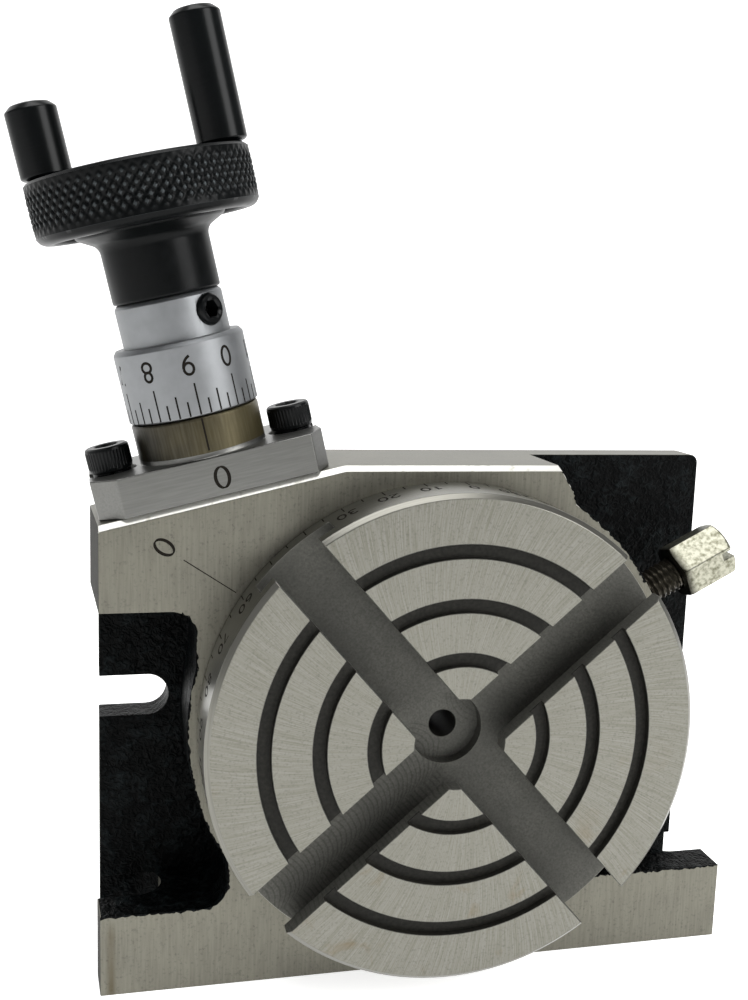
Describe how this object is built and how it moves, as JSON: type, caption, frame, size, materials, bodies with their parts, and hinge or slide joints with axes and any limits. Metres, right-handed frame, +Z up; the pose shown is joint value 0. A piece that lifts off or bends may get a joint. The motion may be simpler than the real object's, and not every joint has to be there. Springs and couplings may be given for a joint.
{
  "type": "rotary table",
  "caption": "Small rotary indexing table with radial T-slots, worm drive with a graduated dial and two-handled handwheel, table lock, and a foot so that it stands or lies flat.",
  "frame": {"origin": "on the foot's sole, straight below the table's axis, in the plane of the worm's axis", "axes": "+Z up when the table stands on its foot, -Y out of the table's face, +X to the right of someone who looks at the face"},
  "size_m": [0.1224, 0.0397, 0.1556],
  "materials": {
    "casting": "machined cast iron with painted ledges",
    "table": "fine turned cast iron",
    "bronze": "turned bronze",
    "steel": "turned steel",
    "dark_steel": "black oxide",
    "bush": "oiled turned steel",
    "dial": "satin chrome",
    "handwheel": "semi-gloss black finish",
    "zinc": "zinc plated"
  },
  "bodies": {
    "base": {"body_casting": "casting", "worm_bush": "bush", "worm_bush_screws": "dark_steel", "worm_bush_spring_washers": "dark_steel", "table_thrust_washer": "bronze", "worm_thrust_washer": "bronze", "lock_pad": "bronze"},
    "table": {"table_top": "table", "worm_wheel": "bronze", "worm_wheel_screws": "dark_steel", "worm_wheel_dowels": "steel", "retaining_plate": "steel", "retaining_plate_screws": "dark_steel"},
    "worm": {"worm_shaft": "steel", "worm_thrust_nut": "steel", "thrust_nut_grub_screw": "dark_steel", "handwheel": "handwheel", "handwheel_key": "steel", "handwheel_washer": "dark_steel", "handwheel_screw": "dark_steel", "long_handle": "handwheel", "short_handle": "handwheel"},
    "dial": {"graduated_dial": "dial", "dial_set_screw": "dark_steel"},
    "lock_screw": {"lock_screw": "zinc"}
  },
  "joints": [
    {"name": "table_spin", "type": "hinge", "parent": "base", "child": "table", "pos_m": [0, 0, 0.0441], "axis": [0, -1, 0], "continuous": true},
    {"name": "worm_spin", "type": "hinge", "parent": "base", "child": "worm", "pos_m": [-0.02624, 0, 0.03775], "axis": [-0.2351, 0, 0.972], "continuous": true},
    {"name": "dial_set", "type": "hinge", "parent": "worm", "child": "dial", "pos_m": [-0.02624, 0, 0.03775], "axis": [-0.2351, 0, 0.972], "continuous": true},
    {"name": "lock_turn", "type": "hinge", "parent": "base", "child": "lock_screw", "pos_m": [0.03973, -0.00595, 0.06523], "axis": [-0.8829, 0, -0.4695], "range_deg": [-120, 90]}
  ],
  "couplings": [
    {"joint": "worm_spin", "follows": "table_spin", "ratio": 36}
  ]
}
